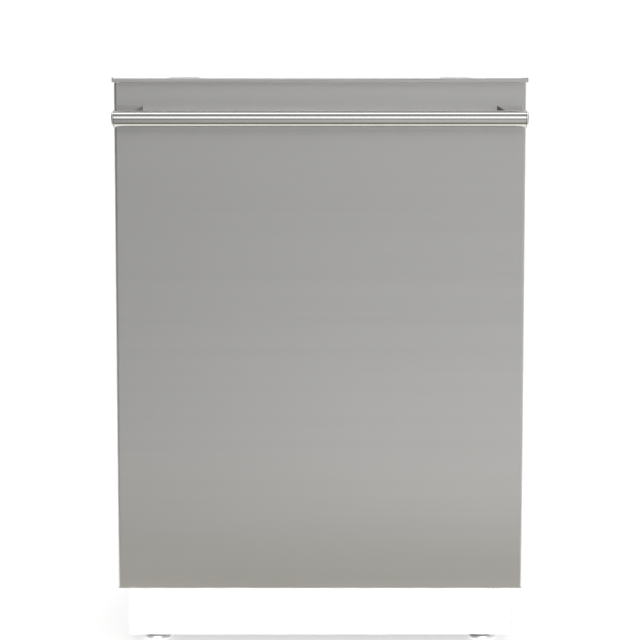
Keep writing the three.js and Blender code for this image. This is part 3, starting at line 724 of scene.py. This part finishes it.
def rack_wires(half, front, back, floor, hoops, tines, lengthwise, crosswise):
    """A welded basket: U-shaped wires both ways, closed hoops round them and rows of upright tines.

    tines holds the first and last place along a row, the height of the tips, and where the rows lie.
    """
    thin, thick = 1.6 * MM, 2.0 * MM
    wire_inset, hoop_inset = 3.4, 2
    shape = Shape()
    inside, near, far = half - wire_inset, front + wire_inset, back - wire_inset
    top = hoops[-1]
    for x in spaced(-inside, inside, lengthwise):
        points = [mm(x, near, top), mm(x, near, floor), mm(x, far, floor), mm(x, far, top)]
        shape.wire(points, thin, 12 * MM)
    for y in spaced(near, far, crosswise):
        shape.wire(arched(-inside, inside, y, floor - 2.2, top), thin, 12 * MM)
    edge, near, far = half - hoop_inset, front + hoop_inset, back - hoop_inset
    for z in hoops:
        loop = [mm(-edge, near, z), mm(edge, near, z), mm(edge, far, z), mm(-edge, far, z)]
        shape.wire(loop, thick, 22 * MM, closed=True)
    low, high, height, rows = tines
    for x in rows:
        shape.wire([mm(x, front + 4, floor), mm(x, back - 4, floor)], thin, 0)
        for y in spaced(low, high, 11):
            shape.rod(mm(x, y, floor - 1), mm(x, y, height), thin, 8, 0.8 * MM)
    return shape


def make_lower_rack():
    """The lower basket with the legs that carry its wheels, and its folding row of tines."""
    shape = rack_wires(258, -180, 250, 240, (305, 370), (-110, 190, 318, (-130, 90)), 12, 8)
    for _, side in SIDES:
        for y in (-140, 200):
            shape.rod(mm(side * 238, y, 210.9), mm(side * 258, y, 210.9), 4 * MM, 16, 0.8 * MM)
            shape.block(*box_of((236, 240.5), (y - 5, y + 5), (204.9, 241), side), 1.2 * MM)
            shape.block(*box_of((236, 257.5), (y - 2.5, y + 2.5), (238, 241), side), 1.0 * MM)
    stand_in(shape, "lower_rack")
    row = Shape()
    row.wire([mm(0, -125, 245), mm(0, 195, 245)], 1.9 * MM, 0)
    for y in spaced(-110, 180, 15):
        row.rod(mm(0, y, 244), mm(0, y, 323), 1.6 * MM, 8, 0.8 * MM)
    stand_in(row, "folding_tines")


def make_upper_rack():
    """The upper basket and its cup shelf."""
    shape = rack_wires(264, -175, 250, 532, (590, 648), (-120, 200, 580, (-150, 44)), 12, 8)
    stand_in(shape, "upper_rack")
    shelf = Shape()
    x0, x1, y0, y1, z = 152, 248, -148, 118, 600
    shelf.wire([mm(x0, y0, z), mm(x1, y0, z), mm(x1, y1, z), mm(x0, y1, z)], 1.9 * MM, 10 * MM, closed=True)
    for x in (176, 200, 224):
        shelf.wire([mm(x, y0, z), mm(x, y1, z)], 1.5 * MM, 0)
    for y in spaced(y0 + 20, y1 - 20, 7):
        shelf.wire([mm(x0, y, z - 1.6), mm(x1, y, z - 1.6)], 1.5 * MM, 0)
    stand_in(shelf, "cup_shelf")


def make_cutlery_basket():
    """Three cells with slatted walls, a slotted floor and a carrying arch."""
    low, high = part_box("cutlery_basket")
    x0, x1, y0, y1 = (value / MM for value in (low.x, high.x, low.y, high.y))
    z0, rim, wall = low.z / MM, 368, 2
    cells = spaced(y0, y1, 4)
    bands = ((z0, z0 + 14), (300, 306), (rim - 14, rim))
    shape = Shape()
    for near, far in ((x0, x0 + wall), (x1 - wall, x1)):
        for z in bands:
            shape.block(*box_of((near, far), (y0, y1), z), 0.5 * MM)
        for y in spaced(y0 + 2, y1 - 2, 23):
            shape.block(*box_of((near + 0.2, far - 0.2), (y - 1.8, y + 1.8), (z0 + 8, rim - 8)), 0.4 * MM)
    for near, far in ((y0, y0 + wall), (y1 - wall, y1)):
        for z in bands:
            shape.block(*box_of((x0, x1), (near, far), z), 0.5 * MM)
        for x in spaced(x0 + 2, x1 - 2, 8):
            shape.block(*box_of((x - 1.8, x + 1.8), (near + 0.2, far - 0.2), (z0 + 8, rim - 8)), 0.4 * MM)
    for y in cells[1:-1]:
        shape.block(*box_of((x0 + 1, x1 - 1), (y - 1, y + 1), (z0 + 1, rim - 10)), 0.5 * MM)
    for y in spaced(y0 + 3, y1 - 3, 24):
        shape.block(*box_of((x0 + 1, x1 - 1), (y - 1.6, y + 1.6), (z0 + 0.2, z0 + 1.9)), 0.4 * MM)
    for x in spaced(x0 + 3, x1 - 3, 6):
        shape.block(*box_of((x - 1.8, x + 1.8), (y0 + 1, y1 - 1), (z0, z0 + 1.6)), 0.4 * MM)
    middle_y = (y0 + y1) / 2
    root, crown, half_gap = rim - 8, 394.4, 6.5
    arch = [(x0 + 1, root), (x0 + 1, crown), (x1 - 1, crown), (x1 - 1, root)]
    for shift in (-half_gap, half_gap):
        shape.wire([mm(x, middle_y + shift, z) for x, z in arch], 1.1 * MM, 12 * MM)
    for x in (x0 + 1, x1 - 1):
        for z in (376, 385):
            shape.rod(mm(x, middle_y - half_gap, z), mm(x, middle_y + half_gap, z), 0.9 * MM, 8)
    shape.block(*box_of((x0 + 10, x1 - 10), (middle_y - 8, middle_y + 8), (393, 396)), 1.2 * MM)
    stand_in(shape, "cutlery_basket")


def make_wheels():
    """Rollers with a hub, a spoked web and a broad, grooved tread."""
    profile = [
        (4.6, 0.6), (8, 0.6), (8.6, 1.2), (8.6, 4.8), (13.2, 5.2), (13.2, 0.8),
        (14, 0), (17.2, 0), (18, 0.9), (18, 5.9), (17.5, 6.3),
        (17.5, 6.7), (18, 7.1), (18, 12.1), (17.2, 13), (14, 13),
        (13.2, 12.2), (13.2, 7.8), (8.6, 8.2), (8.6, 11.8), (8, 12.4), (4.6, 12.4),
    ]
    for place in ("front", "rear"):
        for name, _ in SIDES:
            node = f"rack_wheel_{place}_{name}"
            low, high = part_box(node)
            centre = (low + high) / 2
            shape = Shape().turned(outline(profile), (low.x, centre.y, centre.z), (1, 0, 0), 40)
            for way in (3.0, 10.0):
                for k in range(6):
                    out = Vector((0, math.cos(k * math.pi / 3), math.sin(k * math.pi / 3)))
                    hub = Vector((low.x + way * MM, centre.y, centre.z))
                    shape.rod(hub + out * 8 * MM, hub + out * 13.8 * MM, 1.3 * MM, 8)
            stand_in(shape, node)


# ---- Wash system ---------------------------------------------------------------------------------


def blade_ring(x, half_width, low, high, centre_y, points=20):
    """One section of a spray arm: a flattened oval with full sides."""
    ring = []
    for k in range(points):
        angle = 2 * math.pi * k / points
        c, s = math.cos(angle), math.sin(angle)
        across = math.copysign(abs(c) ** 0.7, c) * half_width
        up = math.copysign(abs(s) ** 0.75, s)
        ring.append((x, centre_y + across, (low + high) / 2 + up * (high - low) / 2))
    return ring


def make_spray_arm(node, root, tip, blade, hub, bore, jets_up=True):
    """Two tapered blades on a hub, with a row of jet rings along each."""
    low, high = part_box(node)
    reach = (high.x - low.x) / 2 / MM
    centre_y = (low.y + high.y) / 2 / MM
    shape = Shape()
    rings = []
    for share in spaced(-1.0, 1.0, 41):
        x = share * reach
        width = root + (tip - root) * abs(share)
        rest = reach - abs(x)
        if rest < tip:
            width = max(0.6, math.sqrt(max(0.0, tip ** 2 - (tip - rest) ** 2)))
        thick = 0.5 + 0.5 * min(1.0, (rest + 2) / (tip + 2))
        mid, half = (blade[0] + blade[1]) / 2, (blade[1] - blade[0]) / 2 * thick
        rings.append([mm(*p) for p in blade_ring(x, width, mid - half, mid + half, centre_y)])
    shape.loft(rings)
    hub_radius, hub_low, hub_high = hub
    bore_radius, bore_end = bore
    if jets_up:
        body = [
            (NEAR_AXIS, bore_end), (bore_radius, bore_end), (bore_radius, hub_low + 0.4),
            (bore_radius + 0.5, hub_low), (hub_radius - 0.8, hub_low), (hub_radius, hub_low + 0.8),
            (hub_radius, hub_high - 1.4), (hub_radius - 1.4, hub_high), (hub_radius * 0.55, hub_high),
            (hub_radius * 0.5, hub_high - 0.8), (NEAR_AXIS, hub_high - 0.8),
        ]
    else:
        body = [
            (NEAR_AXIS, hub_low + 0.8), (hub_radius * 0.5, hub_low + 0.8), (hub_radius * 0.55, hub_low),
            (hub_radius - 1.4, hub_low), (hub_radius, hub_low + 1.4), (hub_radius, hub_high - 0.8),
            (hub_radius - 0.8, hub_high), (bore_radius + 0.5, hub_high), (bore_radius, hub_high - 0.4),
            (bore_radius, bore_end), (NEAR_AXIS, bore_end),
        ]
    shape.disc(outline(body), mm(0, centre_y, 0), (0, 0, 1), 40)
    face, out = (blade[1], 1) if jets_up else (blade[0], -1)
    jet = [(0.9, -2.0), (2.9, -2.0), (2.9, 0.1), (2.3, 0.5), (1.2, 0.5), (0.9, 0.1)]
    for side in (-1, 1):
        for step, share in enumerate((0.24, 0.38, 0.52, 0.66, 0.8, 0.9)):
            width = root + (tip - root) * share
            shift = (0.30 if step % 2 else -0.30) * width * side
            top = face - out * (0.5 + 0.55 * abs(shift) / width)
            ring = [(r * MM, out * way * MM) for r, way in jet]
            shape.turned(ring, mm(side * share * reach, centre_y + shift, top), (0, 0, 1), 14)
    stand_in(shape, node)


def make_spray_arms():
    """The lower arm throws upwards, the other two downwards."""
    make_spray_arm("lower_spray_arm", 26, 13, (206, 218), (24, 200, 222), (10, 212))
    make_spray_arm("mid_spray_arm", 22, 12, (498, 508), (20, 494, 513.6), (8.2, 502), jets_up=False)
    make_spray_arm("top_spray_arm", 18, 10, (810, 818), (18, 808, 828), (9, 812), jets_up=False)


def make_coarse_filter():
    """A ribbed cup with a rolled rim and a grip."""
    centre = middle("coarse_filter")
    cup = Shape()
    profile = [
        (NEAR_AXIS, 145), (34.5, 145), (36, 146.4), (36, 178), (40, 179.2), (41, 180),
        (41, 183.2), (40.2, 184), (34.2, 184), (33, 183), (33, 148.6), (32, 148), (NEAR_AXIS, 148),
    ]
    cup.disc(outline(profile), (centre.x, centre.y, 0), (0, 0, 1), 64)
    ribs, wall = 32, 36 * MM
    for k in range(ribs):
        angle = 2 * math.pi * k / ribs
        x, y = centre.x + wall * math.cos(angle), centre.y + wall * math.sin(angle)
        cup.rod((x, y, 147 * MM), (x, y, 177 * MM), 0.8 * MM, 6)
    y = centre.y / MM
    grip = [mm(-36, y, 184), mm(-30, y, 191.4), mm(30, y, 191.4), mm(36, y, 184)]
    cup.wire(grip, 1.5 * MM, 8 * MM)
    cup.block(mm(-33, y - 2, 182), mm(33, y + 2, 191.6), 1.2 * MM)
    for x in (-22, -11, 0, 11, 22):
        cup.block(mm(x - 1, y - 3.8, 184), mm(x + 1, y + 3.8, 190.4), 0.6 * MM)
    stand_in(cup, "coarse_filter")


# ---- Cabinet -------------------------------------------------------------------------------------


def make_springs():
    """Coil springs with a hook at each end."""
    for name, side in SIDES:
        x, y = side * 268, -60
        low, high, coil, turns, steps = 63.5, 136.5, 6.7, 24, 14
        points = [mm(x + 3, y, 49.4), mm(x - 2, y, 49.4), mm(x - 2.4, y, 53), mm(x, y, 56), mm(x, y, 60)]
        for k in range(turns * steps + 1):
            angle = 2 * math.pi * k / steps
            z = low + (high - low) * k / (turns * steps)
            points.append(mm(x + coil * math.cos(angle), y + coil * math.sin(angle), z))
        points += [mm(x, y, 140), mm(x, y, 144), mm(x - 2.4, y, 146)]
        points += [mm(x - 2, y, 148.6), mm(x + 3, y, 148.6)]
        stand_in(Shape().wire(points, 1.25 * MM, 0, 8), f"door_spring_{name}")


def make_gasket():
    """A ribbed sealing strip up both sides of the mouth and across its top, in one mitred run."""
    half = [
        (4.5, -196.9), (4.5, -197.7), (3.6, -198.1), (3.0, -199.4),
        (2.0, -200.1), (1.0, -199.4), (0.6, -198.5),
    ]
    section = [(-u, y) for u, y in half] + half[::-1]
    side, bottom, top = 289, 180, 844.4
    corners = ((-side, bottom, -1, 0), (-side, top, -1, 1), (side, top, 1, 1), (side, bottom, 1, 0))
    rings = []
    for x, z, out_x, out_z in corners:
        rings.append([mm(x + out_x * u, y, z + out_z * u) for u, y in section])
    stand_in(Shape().loft(rings), "tub_gasket")


def bead_loop(shape, corners, radius):
    """A stamped bead along a closed loop."""
    shape.wire(corners, radius, 30 * MM, 10, closed=True)


def make_liner_beads():
    """The stampings of the door's steel liner: a frame, a surround for the dispenser and stiffening bars."""
    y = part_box("door_liner")[1].y / MM - 2.2
    beads = Shape()
    for x0, x1, z0, z1 in ((-228, 228, 214, 806), (-96, 156, 420, 580)):
        bead_loop(beads, [mm(x0, y, z0), mm(x1, y, z0), mm(x1, y, z1), mm(x0, y, z1)], 4 * MM)
    for z in (250, 290, 330, 370, 640, 680, 720, 760):
        bar = [mm(-170, y - 3, z), mm(-164, y, z), mm(164, y, z), mm(170, y - 3, z)]
        beads.wire(bar, 4 * MM, 4 * MM, 10)
    beads.build("liner_beads", "door", "tub_steel")


def make_tub_beads():
    """The stampings of the tub's walls, inside and behind."""
    back = 290.8
    beads = Shape()
    for _, side in SIDES:
        x = side * 282.7
        for z0, z1 in ((226, 560), (660, 806)):
            bead_loop(beads, [mm(x, -150, z0), mm(x, 250, z0), mm(x, 250, z1), mm(x, -150, z1)], 1.9 * MM)
        for z in (300, 393, 486, 710, 756):
            bar = [mm(x + side, -122, z), mm(x, -116, z), mm(x, 216, z), mm(x + side, 222, z)]
            beads.wire(bar, 1.9 * MM, 3 * MM, 10)
        corners = ((46, 226), (256, 226), (256, 806), (46, 806))
        bead_loop(beads, [mm(side * across, back, z) for across, z in corners], 3.6 * MM)
    beads.build("tub_beads", BODY_OF["tub"], "tub_steel")


def quilt(across, along, pitch=90.0):
    """Thickness of a quilted mat in millimetres: full between its stitched lines and pinched along them."""
    gap = min(abs(across - pitch * round(across / pitch)), abs(along - pitch * round(along / pitch)))
    full, pinch, seam = 7.0, 4.2, 11.0
    loose = math.sin(across * 0.043 + along * 0.017) * math.sin(along * 0.061 - across * 0.011)
    return full - pinch * math.exp(-((gap / seam) ** 2)) + 0.5 * loose


def make_blanket():
    """The quilted sound mat, over the tub's sides and top, with bound edges."""
    low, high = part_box("sound_blanket")
    inner, bottom, ceiling = 284.2, low.z / MM, 848.45
    front, back = low.y / MM, high.y / MM
    hem_width, hem_rise, clear = 20, 18, 0.15
    rail = []
    for z in spaced(bottom, ceiling, 68):
        rail.append((-inner, z, -1, 0))
    for angle in (18, 36, 54, 72):
        rail.append((-inner, ceiling, -math.cos(math.radians(angle)), math.sin(math.radians(angle))))
    for x in spaced(-inner, inner, 58):
        rail.append((x, ceiling, 0, 1))
    for angle in (72, 54, 36, 18):
        rail.append((inner, ceiling, math.cos(math.radians(angle)), math.sin(math.radians(angle))))
    for z in spaced(ceiling, bottom, 68):
        rail.append((inner, z, 1, 0))
    rings = []
    for y in spaced(front, back, 47):
        edge = min(y - front, back - y)
        outside, inside = [], []
        for i, (x, z, out_x, out_z) in enumerate(rail):
            hem = min(edge, z - bottom)
            thick = quilt(10.0 * i, y - front - 5)
            if hem < hem_width:
                thick = min(thick, 2.4 + 1.6 * math.sin(math.pi * min(hem, hem_rise) / hem_rise))
            outside.append(mm(x + out_x * thick, y, z + out_z * thick))
            inside.append(mm(x + out_x * clear, y, z + out_z * clear))
        rings.append(outside + inside[::-1])
    mat = stand_in(Shape().loft(rings), "sound_blanket")


def make_circulation_pump():
    """A round housing with its bolts, and a ribbed motor on a foot beside it."""
    pump = Shape()
    profile = [(NEAR_AXIS, 106), (52, 106), (55, 108.5), (55, 137), (52.5, 140), (42, 140.5), (42, 143)]
    for k in range(9):
        way = 146 + 8.4 * k
        profile += [(38.6, way), (38.6, way + 3.4), (42, way + 4.2), (42, way + 7.6)]
    profile += [(40, 224), (36, 228), (14, 228), (13, 226.5), (NEAR_AXIS, 226.5)]
    pump.disc(outline(profile), mm(0, 60, 90), (1, 0, 0), 56)
    outlet = [(NEAR_AXIS, 104.4), (14, 104.4), (14, 110), (NEAR_AXIS, 110)]
    pump.disc(outline(outlet), mm(0, 20, 124), (1, 0, 0), 28)
    pump.block(mm(150, 30, 33.3), mm(215, 90, 60), 3 * MM, 3)
    for k in range(8):
        angle = math.radians(22.5 + 45 * k)
        y, z = 60 + 47.5 * math.cos(angle), 90 + 47.5 * math.sin(angle)
        pump.rod(mm(139, y, z), mm(143.5, y, z), 3.2 * MM, 6)
    stand_in(pump, "circulation_pump")


def make_drain_pump():
    """A small pump on a foot, with a ribbed motor."""
    drain = Shape()
    profile = [(NEAR_AXIS, 101), (28, 101), (30, 103), (30, 132), (28, 134.5), (22, 135)]
    for k in range(7):
        way = 139 + 8 * k
        profile += [(22, way), (20, way + 0.8), (20, way + 3.4), (22, way + 4.2)]
    profile += [(22, 198), (20, 200), (NEAR_AXIS, 200)]
    drain.disc(outline(profile), mm(0, -20, 105), (-1, 0, 0), 40)
    drain.block(mm(-185, -38, 33.3), mm(-140, -2, 95), 2.5 * MM, 3)
    stand_in(drain, "drain_pump")


def make_inlet_valve():
    """A block with a threaded inlet and a coil on top."""
    valve = Shape()
    valve.block(mm(-205, 225, 33.3), mm(-155, 275, 80), 2.5 * MM, 3)
    thread = [(NEAR_AXIS, 270), (11.5, 270), (11.5, 274)]
    for k in range(11):
        thread += [(13, 275.2 + 2.5 * k), (13, 275.8 + 2.5 * k), (11.9, 277 + 2.5 * k)]
    thread += [(12, 303.6), (11, 305), (8, 305), (8, 297), (NEAR_AXIS, 297)]
    valve.disc(outline(thread), mm(-180, 0, 60), (0, 1, 0), 36)
    coil = [
        (NEAR_AXIS, 79), (16, 79), (16, 81), (14.6, 82), (14.6, 105), (16, 106),
        (16, 108.6), (15, 110), (5, 110), (5, 108), (NEAR_AXIS, 108),
    ]
    valve.disc(outline(coil), mm(-180, 250, 0), (0, 0, 1), 36)
    stand_in(valve, "inlet_valve")


def make_feet():
    """A broad pad with a hexagon above it, on a threaded stud."""
    for place in ("front", "rear"):
        for name, _ in SIDES:
            node = f"levelling_foot_{place}_{name}"
            centre = middle(node)
            foot = Shape()
            pad = [(NEAR_AXIS, 0), (18, 0), (20, 1.6), (20, 5), (18.6, 7), (10.5, 8), (NEAR_AXIS, 8)]
            foot.disc(outline(pad), (centre.x, centre.y, 0), (0, 0, 1), 40)
            nut = [(NEAR_AXIS, 7), (10, 7), (10.6, 7.6), (10.6, 11.4), (10, 12), (NEAR_AXIS, 12)]
            foot.disc(outline(nut), (centre.x, centre.y, 0), (0, 0, 1), 6)
            stud = [(NEAR_AXIS, 11)]
            for k in range(26):
                stud += [(4.5, 12 + 2.6 * k), (5, 13.1 + 2.6 * k), (5, 13.6 + 2.6 * k)]
            stud += [(4.4, 79.6), (NEAR_AXIS, 80)]
            foot.disc(outline(stud), (centre.x, centre.y, 0), (0, 0, 1), 20)
            stand_in(foot, node, BRIGHT_ZINC)


def screw_head(shape, x, y, z, axis, radius):
    """A low domed head."""
    profile = [
        (NEAR_AXIS, -0.6), (radius, -0.6), (radius, 0.5),
        (radius * 0.8, 1.3), (radius * 0.4, 1.7), (NEAR_AXIS, 1.8),
    ]
    shape.disc(outline(profile), mm(x, y, z), axis, 20)


def make_screws():
    """Screws that hold the door's liner and the toe kick."""
    door = Shape()
    for _, side in SIDES:
        for z in (210, 350, 510, 670, 820):
            screw_head(door, side * 268, -200.5, z, (0, 1, 0), 3.6)
    door.build("liner_screws", "door", "zinc")
    base = Shape()
    for _, side in SIDES:
        for z in (36, 84):
            screw_head(base, side * 262, -170, z, (0, -1, 0), 4.0)
    base.build("toe_kick_screws", BODY_OF["toe_kick"], "white_paint")


def make_rest():
    """The CAD pieces that keep their shape, with softened edges."""
    for node, bevel in (
        ("tub", 0.0005), ("base_pan", 0.0012), ("toe_kick", 0.0006), ("strike_plate", 0.0004),
        ("sump", 0.001), ("fine_filter", 0.0004), ("float", 0.0012), ("feed_tube", 0.0025),
        ("junction_box", 0.0015), ("upper_feed_pipe", 0.002),
    ):
        dress(node, bevel, 3)
    for name, _ in SIDES:
        dress(f"top_bracket_{name}", 0.0005, 2, BRIGHT_ZINC)
        for kind in ("hinge_bracket", "upper_rail", "rack_runner"):
            dress(f"{kind}_{name}", 0.0005)


bpy.context.scene.view_settings.view_transform = "Standard"
make_camera()
make_lights()
make_stage()
make_door()
make_liner_beads()
make_lower_rack()
make_upper_rack()
make_cutlery_basket()
make_wheels()
make_spray_arms()
make_coarse_filter()
make_springs()
make_gasket()
make_tub_beads()
make_blanket()
make_circulation_pump()
make_drain_pump()
make_inlet_valve()
make_feet()
make_screws()
make_rest()
